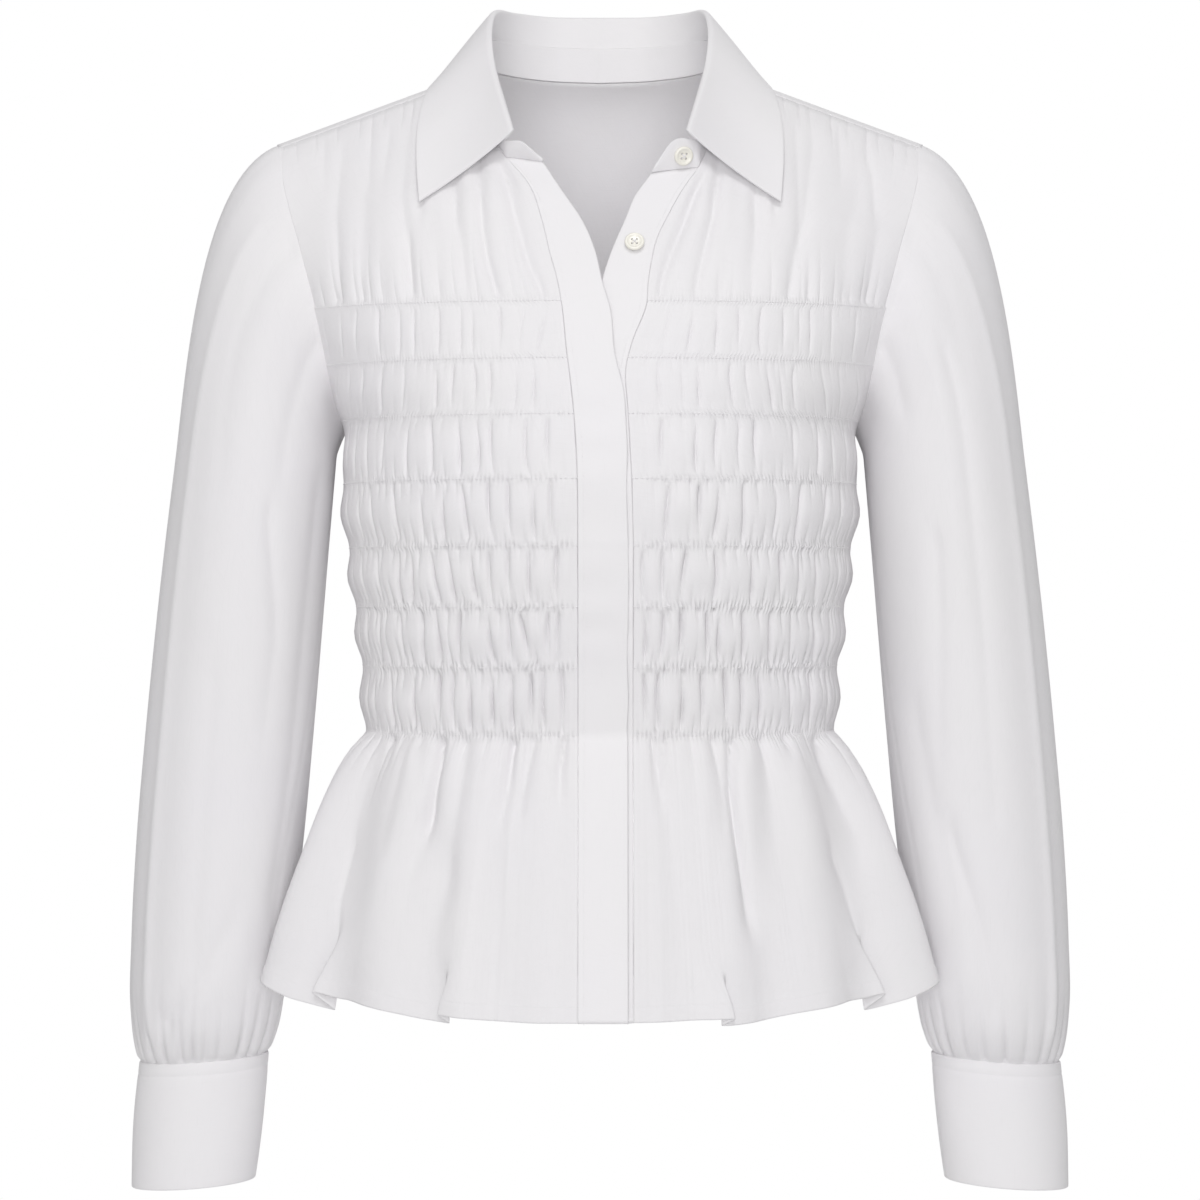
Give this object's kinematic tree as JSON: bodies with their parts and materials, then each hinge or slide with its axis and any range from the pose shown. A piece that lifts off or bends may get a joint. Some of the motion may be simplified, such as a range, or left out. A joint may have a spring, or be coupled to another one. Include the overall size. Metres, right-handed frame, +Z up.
{
  "type": "fitted shirt",
  "caption": "Fitted long-sleeved shirt, open at the neck, with a pointed collar, a concealed button front, an elastic-shirred body, a flared peplum and deep cuffs.",
  "frame": {"origin": "middle of the wearer's neck, level with the shoulders' high points, where the shirt is held", "axes": "+Z up along the wearer's spine, -Y the way the wearer faces, +X to the wearer's left"},
  "size_m": [0.562, 0.2367, 0.7125],
  "materials": {
    "cloth": "matt plain-woven cotton",
    "button": "satin pearl"
  },
  "bodies": {
    "root": {"back": "cloth", "button_band": "cloth", "button_chest": "button", "button_neck": "button", "collar_leaf": "cloth", "collar_stand": "cloth", "cuff_left": "cloth", "cuff_right": "cloth", "fly_placket": "cloth", "front_left": "cloth", "front_right": "cloth", "sleeve_left": "cloth", "sleeve_right": "cloth", "yoke": "cloth"}
  },
  "joints": []
}
